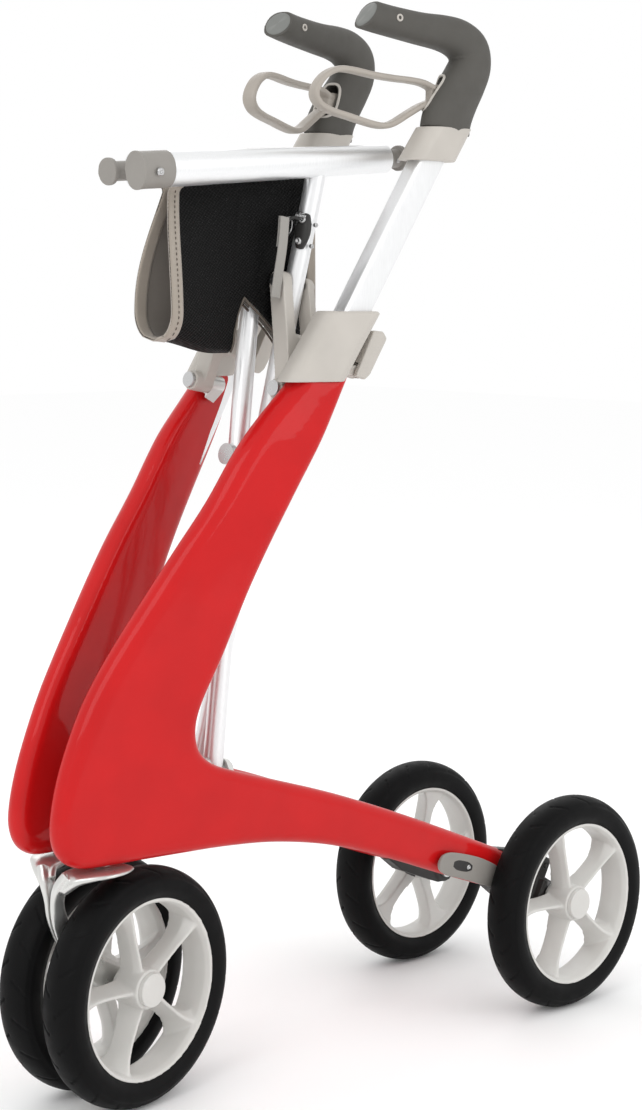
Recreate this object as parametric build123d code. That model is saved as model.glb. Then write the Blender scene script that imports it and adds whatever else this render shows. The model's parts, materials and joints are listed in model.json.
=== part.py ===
"""Folding four-wheel walking frame, shown folded flat.

Millimetres. +Z is up, the walker faces -Y, and its left side is +X.
Pieces are laid out from the rear axle line, and save() moves them so that the
origin is on the floor under the middle of the bounding box.
"""
import os
from math import cos, radians, sin

from build123d import *

os.makedirs("parts", exist_ok=True)

# ---- driving dimensions -------------------------------------------------
REAR_AXLE_Y = 229.6  # rear axle line behind the origin
WHEEL_R = 100.0
TYRE_HALF = 18.0
RIM_R = 76.0
RIM_HALF = 16.0
HUB_R = 17.0
HUB_HALF = 14.0
CAP_R = 14.2
AXLE_R = 4.0
RUN_GAP = 0.05  # radial running clearance of every pin and axle
REAR_WHEEL_X = 97.9

STEM_X = 28.5
STEM_Y = -500.0
CASTER_TRAIL = 41.0
CASTER_YAW = 7.7  # both casters are stored swivelled by this much
STEM_R = 4.0
STEM_BEARING_R = 7.0
CROWN_TOP = 209.0
CROWN_BOTTOM = 203.5
FORK_GAP = 0.9
FORK_ARM = 6.2

FOLD_LEAN = 10.0  # the cross-brace plane leans back by this angle
PIVOT = (0.0, -320.0, 525.5)
REST_ANGLE = 4.8  # each cross tube from upright when folded
LOWER_ARM = 263.0
UPPER_ARM = 252.0
TUBE_R = 8.5
TUBE_WALL = 1.6
TUBE_DEPTH = 13.0  # each tube from the mid plane of the brace
TUBE_STUB = 7.0  # tube beyond its lower pivot
PIN_R = 4.0
SIDE_GAP = 0.6  # clearance beside a part that swings
EAR = 5.0  # thickness of a lug's ear
EAR_R = 9.0
CROSS_HEAD_R = 7.0
CROSS_HEAD = 3.0

LINK_AXIS = (38.5, 58.5)  # lower link pivot in the brace plane
LINK_TOP = (12.6, 150.5)
LINK_WIDTH = 17.0
LINK_REACH = 27.2  # from the front plate's back face to the rear plate's back face
LINK_FRONT = 11.0  # thickness of the front plate
LINK_REAR = 7.0  # thickness of the rear plate
LINK_BOSS = 19.4  # front face of the lower boss, from the front plate's back face
LINK_BEND = 11.0  # sideways step of the link above its lower pivot
LINK_HEAD_R = 6.5
LINK_HEAD = 2.8
STUB_BOLT_R = 3.5
STUB_HEAD_R = 5.5
STUB_HEAD = 2.2
POCKET_FRONT = 23.5  # pocket's front wall, from the front plate's back face
POCKET_REAR = 1.5  # room behind the rear plate

FRAME_T = 24.0
UPRIGHT_T = 26.0
HOUSING_BOTTOM = 592.0
HOUSING_TOP = 650.0
MAST_POINT = (63.5, -262.0, 650.0)
MAST_DIR = Vector(6.7, 79.0, 126.0).normalized()
MAST_SECTION = (27.0, 16.0)
MAST_CLEAR = 0.25
MAST_INSERT = 150.0
MAST_EXPOSED = 149.0
BORE_DEPTH = 240.0

LEVER_PIVOT = (68.5, -150.0, 834.0)
LEVER_TOE = 12.0
LEVER_HALF = 6.0
LEVER_RIBBON = 5.0
LEVER_CORNER = 6.0
LEVER_PIN_R = 2.5
NECK = (30.0, 19.0, 10.0)
NECK_ROOM = (44.0, 29.0, 12.6)
CLAMP_PIN = (65.0, -262.0, 600.0)
CLAMP_PIN_R = 2.0
CLAMP_WIDTH = 18.0
BRAKE_PIN = (75.0, -8.0, 131.0)
BRAKE_PIN_R = 2.5
BRAKE_TILT = 28.6
CARRIER_BOSS_R = 13.0
COVER_TILT = 17.0
AXLE_HEAD_R = 8.0
WASHER_R = 7.0

RAIL_FRONT = Vector(20.5, -430.0, 761.0)
RAIL_REAR = Vector(25.0, -186.0, 780.3)
RAIL_FRONT_OVAL = (14.5, 12.0)
RAIL_REAR_OVAL = (12.0, 10.5)
RAIL_WALL = 2.0
CAP_PLUG_OVAL = (9.7, 8.2)
CAP_PLUG = 14.0
CAP_WAIST_R = 8.0
CAP_DISC_R = 11.0
COLLAR_OVAL = (14.8, 12.3)
COLLAR_END_OVAL = (15.4, 13.0)
COLLAR = 26.0
CLOTH_T = 2.0
LATCH_LOW = 178.0  # along the cross tube, from the centre pivot
LATCH_HIGH = 213.0

# Upright: height, front edge, rear edge, middle, toe angle, thickness
UPRIGHT = [
    (592.0, -337.0, -279.0, 61.4, 15.0, UPRIGHT_T),
    (545.0, -372.5, -302.5, 58.6, 12.0, UPRIGHT_T),
    (498.0, -406.0, -331.5, 55.9, 10.5, UPRIGHT_T),
    (459.0, -437.0, -355.0, 51.2, 10.5, UPRIGHT_T),
    (420.0, -466.0, -376.0, 47.0, 11.5, UPRIGHT_T),
    (372.0, -500.0, -398.0, 41.0, 11.5, UPRIGHT_T - 1.0),
    (335.0, -522.0, -416.0, 37.5, 11.0, FRAME_T),
    (285.0, -543.0, -428.0, 35.0, 10.0, FRAME_T),
    (245.0, -550.5, -440.0, 34.5, 9.5, FRAME_T),
    (226.0, -545.0, -450.0, 33.5, 9.5, FRAME_T - 1.0),
    (215.0, -528.0, -458.0, 32.5, 9.0, FRAME_T - 4.0),
    (211.0, -512.0, -462.0, 32.5, 9.0, FRAME_T - 9.0),
]
# Lower arm: station, middle, bottom, top
LOWER = [
    (-470.0, 35.5, 211.0, 282.0),
    (-430.0, 39.7, 210.0, 281.0),
    (-386.0, 44.5, 209.0, 275.5),
    (-335.0, 49.0, 204.5, 259.0),
    (-280.0, 52.2, 194.0, 241.0),
    (-234.0, 55.3, 180.0, 225.0),
    (-186.0, 58.6, 162.5, 206.0),
    (-136.0, 61.5, 143.0, 185.0),
    (-84.0, 64.0, 124.0, 163.0),
    (-52.0, 65.0, 116.0, 149.0),
]


def plain(angle):
    """Sine and cosine of an angle in degrees."""
    return sin(radians(angle)), cos(radians(angle))


BRACE = Plane(PIVOT, x_dir=(1, 0, 0), z_dir=(0, -plain(FOLD_LEAN)[1], plain(FOLD_LEAN)[0]))


def save(name, shape):
    """Write one node, moved from the rear-axle layout to the part's own origin."""
    solids = shape.solids() if hasattr(shape, "solids") else shape
    moved = [Pos(0, REAR_AXLE_Y, 0) * s for s in solids]
    export_step(moved[0] if len(moved) == 1 else Compound(children=moved), f"parts/{name}.step")


def both(name, make, *args):
    """Save a left piece and its mirror image."""
    left = make(*args)
    save(f"{name}_left", left)
    save(f"{name}_right", mirror(left, about=Plane.YZ))
    return left


def rod(start, end, radius):
    """Solid round bar between two points."""
    a, b = Vector(*start), Vector(*end)
    return extrude(Plane(a, z_dir=b - a) * Circle(radius), (b - a).length)


def rod_x(x0, x1, y, z, radius):
    """Solid round bar along X."""
    return rod((x0, y, z), (x1, y, z), radius)


def brace_rod(x, w, f0, f1, radius):
    """Round bar square to the brace plane, between two depths."""
    return BRACE * Pos(x, w, f0) * extrude(Circle(radius), f1 - f0)


def brace_slab(points, radius, f0, f1):
    """Plate in the brace plane: the hull of discs of one radius along a line of points."""
    shape = None
    for p, q in zip(points, points[1:]):
        length = ((q[0] - p[0]) ** 2 + (q[1] - p[1]) ** 2) ** 0.5
        edge = Edge.make_line((p[0], p[1]), (q[0], q[1]))
        angle = Vector(q[0] - p[0], q[1] - p[1]).get_signed_angle(Vector(1, 0), Vector(0, 0, -1))
        mid = edge.position_at(0.5)
        face = Pos(mid.X, mid.Y) * Rot(0, 0, angle) * SlotCenterToCenter(length, 2 * radius)
        shape = face if shape is None else shape + face
    return BRACE * Pos(0, 0, f0) * extrude(shape, f1 - f0)


# ---- side frame ----------------------------------------------------------
def level_section(z, front, rear, x, toe, thickness):
    """Rounded section of the upright, in a level plane."""
    s, c = plain(toe)
    plane = Plane((x, (front + rear) / 2, z), x_dir=(s, c, 0), z_dir=(0, 0, 1))
    return plane * RectangleRounded((rear - front) / c, thickness, 0.45 * thickness)


def cross_section(y, x, bottom, top):
    """Rounded section of the lower arm, in a plane across the walker."""
    plane = Plane((x, y, (bottom + top) / 2), x_dir=(0, 0, 1), z_dir=(0, 1, 0))
    return plane * RectangleRounded(top - bottom, FRAME_T, 0.45 * FRAME_T)


def mast_plane(distance):
    """Plane square to the height tube, at a distance above the housing's top."""
    origin = Vector(*MAST_POINT) + MAST_DIR * distance
    across = Vector(1, 0, 0).cross(MAST_DIR).normalized()
    return Plane(origin, x_dir=across, z_dir=MAST_DIR)


def mast_bore():
    """Oval hole that the height tube slides in."""
    width, depth = (side + 2 * MAST_CLEAR for side in MAST_SECTION)
    return extrude(mast_plane(-BORE_DEPTH) * SlotOverall(width, depth), BORE_DEPTH + 30)


def link_pocket(depth):
    """Hollow in the frame and housing that the folded link lies in."""
    x, w = LINK_AXIS
    back = depth_of_link(depth)
    route = [(x, w), (x - LINK_BEND, w + 42), LINK_TOP]
    return brace_slab(route, LINK_WIDTH / 2 + SIDE_GAP, back - LINK_REACH - POCKET_REAR, back + POCKET_FRONT)


def make_side_frame(depth):
    """Painted frame: upright, toe corner and the arm to the rear wheel, as one casting."""
    upright = loft([level_section(*row) for row in UPRIGHT])
    lower = loft([cross_section(*row) for row in LOWER])
    frame = upright + lower
    frame -= mast_bore()
    frame -= rod((STEM_X, STEM_Y, 205), (STEM_X, STEM_Y, 258), STEM_BEARING_R)
    frame -= link_pocket(depth)
    return frame


def make_top_housing(depth):
    """Grey moulded collar on top of the upright that guides the height tube."""
    sections = [
        level_section(HOUSING_BOTTOM, -337.0, -279.0, 61.4, 15.0, UPRIGHT_T + 0.6),
        level_section(HOUSING_BOTTOM + 28, -317.0, -259.5, 62.5, 13.0, UPRIGHT_T + 0.8),
        level_section(HOUSING_TOP - 2, -297.0, -239.0, 63.5, 12.0, UPRIGHT_T),
        level_section(HOUSING_TOP, -294.5, -241.0, 63.5, 12.0, UPRIGHT_T - 3.0),
    ]
    housing = loft(sections, ruled=True)
    x, y, z = CLAMP_PIN
    lug = rod_x(x - 4, x + 4, y, z, 5) + Pos(x, y - 7, z + 1) * Box(8, 12, 8)
    housing += lug
    housing -= mast_bore()
    housing -= link_pocket(depth)
    housing -= rod_x(x - 12, x + 12, y, z, CLAMP_PIN_R + RUN_GAP)
    return housing


def make_height_clamp():
    """Thumb lever behind the housing that squeezes it onto the height tube."""
    x, y, z = CLAMP_PIN
    outline = Polyline(
        (y - 5, z - 4), (y + 6, z - 7), (y + 12, z - 3),
        (y + 32, z + 27), (y + 27, z + 33), (y + 16, z + 34), close=True,
    )
    block = extrude(Plane.YZ * Pos(0, 0, x - CLAMP_WIDTH / 2) * make_face(outline), CLAMP_WIDTH)
    block = fillet(block.edges().filter_by(Axis.X).sort_by(Axis.Y)[-3:], 3)
    block -= Pos(x, y - 1, z) * Box(8.8, 15, 15)
    block -= rod_x(x - CLAMP_WIDTH, x + CLAMP_WIDTH, y, z, CLAMP_PIN_R)
    pin = rod_x(x - CLAMP_WIDTH / 2 + 0.5, x + CLAMP_WIDTH / 2 - 0.5, y, z, CLAMP_PIN_R)
    return Compound(children=[block.solid(), pin.solid()])


# ---- pivots and link -------------------------------------------------------
def lower_pivot():
    """Lower cross-tube pivot of the left side, in the brace plane."""
    s, c = plain(REST_ANGLE)
    return LOWER_ARM * s, -LOWER_ARM * c


def depth_of_link(depth):
    """Back face of the link's front plate, in front of the cross tube that it straddles."""
    return -depth + TUBE_R + 2.1


def make_frame_lugs(frame, depth):
    """Steel lugs on the inner face: one for the link, two ears for a cross tube at this depth."""
    lugs = []
    x, w = LINK_AXIS
    back = depth_of_link(depth)
    link_lug = brace_slab([(x, w), (x + 14, w - 14)], 7.5, back - 14, back - SIDE_GAP)
    link_lug -= brace_rod(x, w, back - 15, back, PIN_R)
    lugs.append(link_lug - frame)
    px, pw = lower_pivot()
    beside = TUBE_R + SIDE_GAP
    for near in (depth + beside, depth - beside - EAR):
        ear = brace_slab([(px, pw), (px + 16, pw - 20)], EAR_R, near, near + EAR)
        ear -= brace_rod(px, pw, near - 1, near + EAR + 1, PIN_R)
        lugs.append(ear - frame)
    return Compound(children=[max(lug.solids(), key=lambda s: s.volume) for lug in lugs])


def make_pivot_bolts(depth):
    """The two shouldered bolts of one side frame: link pivot and cross-tube pivot."""
    x, w = LINK_AXIS
    back = depth_of_link(depth)
    head = back + LINK_BOSS + 0.2
    link_bolt = brace_rod(x, w, back - 14, head, PIN_R)
    link_bolt += brace_rod(x, w, head, head + LINK_HEAD, LINK_HEAD_R)
    px, pw = lower_pivot()
    half = TUBE_R + SIDE_GAP + EAR
    cross_bolt = brace_rod(px, pw, depth - half, depth + half, PIN_R)
    cross_bolt += brace_rod(px, pw, depth + half, depth + half + CROSS_HEAD, CROSS_HEAD_R)
    cross_bolt += brace_rod(px, pw, depth - half - CROSS_HEAD, depth - half, CROSS_HEAD_R)
    return Compound(children=[link_bolt.solid(), cross_bolt.solid()])


def make_link(depth):
    """Forked link from the side frame to a cross tube, with a saddle between its arms."""
    x, w = LINK_AXIS
    tx, tw = LINK_TOP
    back = depth_of_link(depth)
    rear = back - LINK_REACH
    link = brace_slab([(x, w), (x - LINK_BEND, w + 42), (tx, tw)], LINK_WIDTH / 2, back, back + LINK_FRONT)
    link += brace_slab([(x - 12, w + 48), (tx, tw)], 7.5, rear, rear + LINK_REAR)
    link += brace_slab([(x - 5, w + 30), (x - 8, w + 44)], 5.0, rear, back + 3)
    link += brace_rod(x, w, back + 10, back + LINK_BOSS, LINK_WIDTH / 2)
    link -= brace_rod(x, w, back - 5, back + LINK_BOSS + 3, PIN_R + RUN_GAP)
    link -= brace_rod(tx, tw, rear - 3, back + LINK_FRONT + 3, STUB_BOLT_R)
    return link


def make_link_bolts(depth):
    """Two stub bolts in the link's upper bosses; they stop short of the cross tube."""
    tx, tw = LINK_TOP
    back = depth_of_link(depth)
    rear = back - LINK_REACH
    face = back + LINK_FRONT
    front_bolt = brace_rod(tx, tw, back, face, STUB_BOLT_R)
    front_bolt += brace_rod(tx, tw, face, face + STUB_HEAD, STUB_HEAD_R)
    rear_bolt = brace_rod(tx, tw, rear, rear + LINK_REAR, STUB_BOLT_R)
    rear_bolt += brace_rod(tx, tw, rear - STUB_HEAD, rear, STUB_HEAD_R)
    return Compound(children=[front_bolt.solid(), rear_bolt.solid()])


# ---- seat frames -------------------------------------------------------------
def rail_plane(t):
    """Plane square to the left seat rail, t from its front end to its rear end."""
    along = RAIL_REAR - RAIL_FRONT
    up = along.cross(Vector(1, 0, 0)).normalized()
    return Plane(RAIL_FRONT + along * t, x_dir=-up, z_dir=along)


def rail_solid(shrink):
    """Tapered oval bar of the left seat rail."""
    front = rail_plane(0) * Ellipse(*(radius - shrink for radius in RAIL_FRONT_OVAL))
    rear = rail_plane(1) * Ellipse(*(radius - shrink for radius in RAIL_REAR_OVAL))
    return loft([front, rear])


def make_seat_frame(side):
    """One cross tube welded to its seat rail; side 1 ends at the left rail."""
    turn = BRACE * Rot(0, 0, -side * REST_ANGLE)
    depth = -side * TUBE_DEPTH
    foot = turn * Pos(0, -LOWER_ARM - TUBE_STUB, depth) * Rot(-90, 0, 0)
    from_foot = (Align.CENTER, Align.CENTER, Align.MIN)
    tube = foot * Cylinder(TUBE_R, LOWER_ARM + TUBE_STUB + UPPER_ARM, align=from_foot)
    hollow = foot * Cylinder(TUBE_R - TUBE_WALL, LOWER_ARM + UPPER_ARM - 12, align=from_foot)
    rail, core = rail_solid(0), rail_solid(RAIL_WALL)
    if side < 0:
        rail, core = mirror(rail, about=Plane.YZ), mirror(core, about=Plane.YZ)
    seat_frame = tube + rail - core - hollow
    px, pw = lower_pivot()
    seat_frame -= brace_rod(-side * px, pw, depth - 12, depth + 12, PIN_R + RUN_GAP)
    bolt = PIN_R + RUN_GAP if side > 0 else PIN_R
    seat_frame -= brace_rod(0, 0, depth - 12, depth + 12, bolt)
    return seat_frame


def make_centre_pivot():
    """Bolt where the cross tubes meet, with its spacer and end plug."""
    bolt = brace_rod(0, 0, -TUBE_DEPTH - TUBE_R - 1, TUBE_DEPTH + TUBE_R + 0.5, PIN_R)
    bolt += brace_rod(0, 0, TUBE_DEPTH + TUBE_R + 0.5, TUBE_DEPTH + TUBE_R + 5.5, 9)
    bolt += brace_rod(0, 0, -TUBE_DEPTH - TUBE_R - 4, -TUBE_DEPTH - TUBE_R - 1, 7.5)
    spacer = brace_rod(0, 0, -TUBE_DEPTH + TUBE_R + 0.3, TUBE_DEPTH - TUBE_R - 0.1, 8.5)
    spacer -= brace_rod(0, 0, -20, 20, PIN_R)
    return Compound(children=[bolt.solid(), spacer.solid()])


def spool(plane, reach):
    """Rail end cap: a plug, a waist that a bag strap hooks round, and an end disc."""
    cap = extrude(plane * Ellipse(*CAP_PLUG_OVAL), -CAP_PLUG)
    cap += extrude(plane * Circle(CAP_WAIST_R + 2), 3)
    cap += extrude(plane * Circle(CAP_WAIST_R), reach)
    cap += extrude(plane.offset(reach) * Circle(CAP_DISC_R), 4)
    return cap


def make_rail_caps(side):
    """Front and rear end caps of one seat rail."""
    back = rail_plane(1)
    rear = spool(back, 15)
    fore = Plane(rail_plane(0).origin, x_dir=rail_plane(0).x_dir, z_dir=-rail_plane(0).z_dir)
    if side > 0:
        front = extrude(fore * Ellipse(12.0, 9.6), -CAP_PLUG) + extrude(fore * Ellipse(*COLLAR_OVAL), COLLAR)
        mouth = fore.offset(COLLAR + 6) * Ellipse(*COLLAR_END_OVAL)
        front = loft([fore.offset(COLLAR) * Ellipse(*COLLAR_OVAL), mouth]) + front
    else:
        front = spool(fore, 24)
    caps = Compound(children=[rear.solid(), front.solid()])
    return caps if side > 0 else mirror(caps, about=Plane.YZ)


def make_sling_half(side):
    """Plain stand-in for half of the hanging seat cloth: a thin sheet beside the middle plane."""
    outline = Polyline((-412, 747), (-248, 758), (-258, 632), (-426, 628), close=True)
    sheet = extrude(Plane.YZ * Pos(0, 0, SIDE_GAP) * make_face(outline), CLOTH_T)
    if side < 0:
        sheet = mirror(sheet, about=Plane.YZ)
    for tube in (1, -1):
        turn = BRACE * Rot(0, 0, -tube * REST_ANGLE)
        sheet -= turn * Pos(0, 120, -tube * TUBE_DEPTH) * Box(19, 250, 19)
    return max(sheet.solids(), key=lambda s: s.volume)


def make_fold_latch():
    """Plate and wire ring riveted to the front of the left rail's cross tube."""
    turn = BRACE * Rot(0, 0, -REST_ANGLE)
    plate = turn * Pos(4, (LATCH_LOW + LATCH_HIGH) / 2, 0) * Box(4, LATCH_HIGH - LATCH_LOW, 22)
    plate -= turn * Pos(0, 100, -TUBE_DEPTH) * Rot(-90, 0, 0) * Cylinder(
        TUBE_R, 300, align=(Align.CENTER, Align.CENTER, Align.CENTER)
    )
    pin = turn * Pos(4, LATCH_HIGH - 10, 10.5) * Box(4, 5, 8)
    return plate + pin


def make_release_strap():
    """Webbing strap that hangs from the latch ring."""
    turn = BRACE * Rot(0, 0, -REST_ANGLE)
    return turn * Pos(9.5, 170, 17) * Box(1.6, 68, 10)


# ---- handle ---------------------------------------------------------------------
def make_height_tube():
    """Flat-oval tube that carries the handle."""
    outer = extrude(mast_plane(-MAST_INSERT) * SlotOverall(*MAST_SECTION), MAST_INSERT + MAST_EXPOSED + 24)
    inner = extrude(
        mast_plane(-MAST_INSERT) * SlotOverall(MAST_SECTION[0] - 3.6, MAST_SECTION[1] - 3.6),
        MAST_INSERT + MAST_EXPOSED + 20,
    )
    return outer - inner


def oval(centre, normal, height, width):
    """Oval section of the handle, long side fore and aft."""
    n = Vector(*normal).normalized()
    across = Vector(1, 0, 0).cross(n).normalized()
    corner = 0.46 * min(height, width)
    return Plane(centre, x_dir=across, z_dir=n) * RectangleRounded(height, width, corner)


def make_handle_sleeve():
    """Light collar at the foot of the handle."""
    body = loft([oval((70.3, -182, 777), (0, 0, 1), 57, 29), oval((71.2, -161.5, 806), (0, 0, 1), 54.5, 30)])
    plug = extrude(mast_plane(MAST_EXPOSED - 30) * SlotOverall(*MAST_SECTION), 70)
    return body - plug


def make_grip():
    """Soft grip: it rises from the collar and bends forwards over the lever."""
    stations = [
        ((71.2, -161.5, 806.0), (0, 0.0, 1), 54.5, 30),
        ((71.2, -146.0, 830.0), (0, 0.35, 1), 45, 30),
        ((70.5, -127.5, 855.0), (0, 0.1, 1), 41, 31),
        ((69.5, -127.0, 872.0), (0, -0.8, 0.9), 37, 32),
        ((67.0, -150.0, 885.0), (-0.1, -1, 0.05), 31.5, 32),
        ((62.5, -185.0, 887.5), (-0.15, -1, 0.12), 26, 30),
        ((58.0, -215.0, 892.0), (-0.17, -1, 0.15), 24.5, 29),
        ((53.5, -241.0, 897.0), (-0.2, -1, 0.6), 26, 28),
    ]
    grip = loft([oval(*row) for row in stations])
    grip -= lever_plane() * Pos(9, 1, 0) * Box(*NECK_ROOM)
    grip -= lever_plane().offset(-11) * extrude(Circle(LEVER_PIN_R), 22)
    return grip


def lever_plane():
    """Plane of the brake loop: x forwards, y up, at the lever's pivot."""
    s, c = plain(LEVER_TOE)
    return Plane(LEVER_PIVOT, x_dir=(-s, -c, 0), z_dir=(-c, s, 0))


def make_brake_lever():
    """Looped brake lever on a neck, with its pivot pin through the neck."""
    outer = Polyline(
        (20, 11), (34, 12.5), (80, 15), (112, 18.5), (128, 14), (142, 2), (143, -8),
        (130, -20), (80, -30.5), (66, -31.5), (56, -27), (20, -11), close=True,
    )
    outline = fillet(make_face(outer).vertices(), LEVER_CORNER)
    ribbon = outline - offset(outline, -LEVER_RIBBON)
    loop = extrude(ribbon, LEVER_HALF, both=True)
    neck = Pos(10, 0.5, 0) * Box(*NECK)
    lever = loop + neck
    lever -= Cylinder(LEVER_PIN_R + RUN_GAP, 30)
    lever = lever_plane() * lever
    pin = lever_plane() * Cylinder(LEVER_PIN_R, 21)
    return lever, pin


# ---- rear axle and brake ------------------------------------------------------------
def make_rear_carrier(frame):
    """Cast carrier bolted to the frame's tail: cover plate outside, axle boss behind."""
    arm = Polyline(
        (-104, 142), (-66, 156), (-38, 150), (-2, 119), (13, 110), (16, 98), (8, 87), (-8, 87),
        (-60, 108), close=True,
    )
    block = extrude(Plane.YZ * Pos(0, 0, 56) * make_face(arm), 15)
    block = block - frame
    block = max(block.solids(), key=lambda s: s.center().Y)
    block = block + rod_x(54, 82.5, 0, WHEEL_R, CARRIER_BOSS_R)
    block -= rod_x(50, 90, 0, WHEEL_R, AXLE_R)
    block += rod_x(70, 73, BRAKE_PIN[1], BRAKE_PIN[2], 6)
    block += rod_x(73, 79.5, BRAKE_PIN[1], BRAKE_PIN[2], BRAKE_PIN_R)
    return block


def make_side_plate():
    """Long cover plate of the brake cable, on the outside of the tail."""
    plate = Plane.YZ * Pos(-105, 144, 77.1) * Rot(0, 0, -COVER_TILT) * extrude(SlotOverall(104, 25), 1.8)
    plate -= Plane.YZ * Pos(-126, 151, 70) * Rot(0, 0, -COVER_TILT) * extrude(SlotOverall(20, 9), 20)
    return plate


def make_rear_axle():
    """Rear axle bolt with its head inside and washer outside the hub."""
    end = REAR_WHEEL_X + HUB_HALF + 0.5
    axle = rod_x(51, end, 0, WHEEL_R, AXLE_R)
    axle += rod_x(51, 54, 0, WHEEL_R, AXLE_HEAD_R)
    axle += rod_x(end, end + 2, 0, WHEEL_R, WASHER_R)
    return axle


def make_brake_arm():
    """Brake arm that swings its pad against the wheel's hub drum."""
    x, y, z = BRAKE_PIN
    arm = Pos(x + 1.2, y, z) * Rot(-BRAKE_TILT, 0, 0) * Pos(0, 0, -17) * Box(5.4, 11, 50)
    pad = Pos(x + 7.4, y, z) * Rot(-BRAKE_TILT, 0, 0) * Pos(0, -0.6, -23.5) * Box(7.2, 6, 20)
    arm += pad
    arm -= rod_x(60, 90, y, z, BRAKE_PIN_R + RUN_GAP)
    return arm


# ---- wheels ----------------------------------------------------------------------
def ring(r0, r1, half):
    """Ring about the local Z axis."""
    return Cylinder(r1, 2 * half) - Cylinder(r0, 2 * half + 1)


def make_wheel():
    """Tyre, rim, bearings and hub cap about the local Z axis, outside face up."""
    profile = Polyline(
        (RIM_R, -RIM_HALF), (84, -TYRE_HALF), (92, -TYRE_HALF + 0.6), (98, -12), (WHEEL_R, -5),
        (WHEEL_R, 5), (98, 12), (92, TYRE_HALF - 0.6), (84, TYRE_HALF), (RIM_R, RIM_HALF), close=True,
    )
    tyre = revolve(Plane.XZ * make_face(profile), Axis.Z)
    rim = ring(RIM_R - 4.5, RIM_R, RIM_HALF) + Cylinder(HUB_R, 2 * HUB_HALF)
    for k in range(5):
        inner = Plane((HUB_R - 3, 0, 0), x_dir=(0, 1, 0), z_dir=(1, 0, 0)) * Rot(0, 0, 35) * Rectangle(8, 17)
        outer = Plane((RIM_R - 3, 0, 0), x_dir=(0, 1, 0), z_dir=(1, 0, 0)) * Rot(0, 0, 60) * Rectangle(6, 24)
        rim += Rot(0, 0, 72 * k) * loft([inner, outer])
    rim -= Cylinder(9, 2 * HUB_HALF + 2)
    for end in (-1, 1):
        rim -= Pos(0, 0, end * (HUB_HALF - 3.5)) * Cylinder(11, 7.001)
    bearings = [Pos(0, 0, end * (HUB_HALF - 3.5)) * ring(AXLE_R + RUN_GAP, 11, 3.5) for end in (-1, 1)]
    cap = Pos(0, 0, HUB_HALF + 2) * Cylinder(CAP_R, 4) - Pos(0, 0, HUB_HALF + 1.4) * Cylinder(8.5, 2.8)
    cap = fillet(cap.edges().sort_by(Axis.Z)[-1:], 1.2)
    fittings = Compound(children=[part.solid() for part in bearings + [cap]])
    return {"tyre": tyre, "rim": rim, "hub_fittings": fittings}


def wheel_place(side, x, y, yaw):
    """Location of a wheel: its local Z points away from the walker's middle."""
    s, c = plain(yaw)
    return Plane((x, y, WHEEL_R), x_dir=(0, 0, 1), z_dir=(side * c, side * s, 0)).location


# ---- casters -----------------------------------------------------------------------
def caster_frame(side):
    """Local frame of a caster at floor level under its stem: x to the left, y backwards."""
    return Pos(side * STEM_X, STEM_Y, 0) * Rot(0, 0, CASTER_YAW)


def make_fork(side):
    """One-armed caster fork: crown, stem, and an arm inside the wheel down to the axle."""
    inner = -side * (TYRE_HALF + FORK_GAP)
    outer = -side * (TYRE_HALF + FORK_GAP + FORK_ARM)
    low, high = min(inner, outer), max(inner, outer)
    outline = Polyline(
        (-26, 208), (-6, 208), (0, 190), (8, 160), (30, 128), (54, 112), (54, 88), (30, 88), (4, 104),
        (-18, 142), (-30, 178), close=True,
    )
    arm_face = fillet(make_face(outline).vertices(), 5)
    arm = extrude(Plane.YZ.offset(low) * arm_face, high - low)
    thickness = CROWN_TOP - CROWN_BOTTOM
    oblong = Plane.XY.offset(CROWN_BOTTOM) * SlotOverall(56, 42, rotation=90)
    crown = Pos(0, -6, 0) * extrude(oblong, thickness)
    bridge_centre = Pos((low + high) / 2 + side * 9, -14, CROWN_BOTTOM + thickness / 2)
    bridge = bridge_centre * Box(FORK_ARM + 18, 24, thickness)
    fork = crown + bridge + arm
    fork += Pos(0, 0, CROWN_TOP) * Cylinder(STEM_R, 47, align=(Align.CENTER, Align.CENTER, Align.MIN))
    fork -= rod((-60, CASTER_TRAIL, WHEEL_R), (60, CASTER_TRAIL, WHEEL_R), AXLE_R)
    return caster_frame(side) * fork


def make_front_axle(side):
    """Front axle bolt in the fork's arm."""
    start = -side * (TYRE_HALF + FORK_GAP + FORK_ARM)
    inner = -side * (TYRE_HALF + FORK_GAP)
    end = side * (HUB_HALF + 0.5)
    axle = rod((start, CASTER_TRAIL, WHEEL_R), (end, CASTER_TRAIL, WHEEL_R), AXLE_R)
    axle += rod((end, CASTER_TRAIL, WHEEL_R), (end + side * 2, CASTER_TRAIL, WHEEL_R), WASHER_R)
    axle += rod((inner, CASTER_TRAIL, WHEEL_R), (-end, CASTER_TRAIL, WHEEL_R), WASHER_R)
    return caster_frame(side) * axle


def make_stem_bearings():
    """Two bearings in the frame's toe that the caster stem turns in."""
    rings = []
    for z in (213.5, 249.5):
        rings.append(Pos(STEM_X, STEM_Y, z) * ring(STEM_R + RUN_GAP, STEM_BEARING_R, 2.5))
    return Compound(children=[r.solid() for r in rings])


def side_pieces(depth):
    """Pieces of the left side that meet the brace, for a cross tube at this depth."""
    frame = make_side_frame(depth)
    return {
        "side_frame": frame,
        "top_housing": make_top_housing(depth),
        "rear_carrier": make_rear_carrier(frame),
        "frame_lugs": make_frame_lugs(frame, depth),
        "pivot_bolts": make_pivot_bolts(depth),
        "link": make_link(depth),
        "link_bolts": make_link_bolts(depth),
    }


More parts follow.
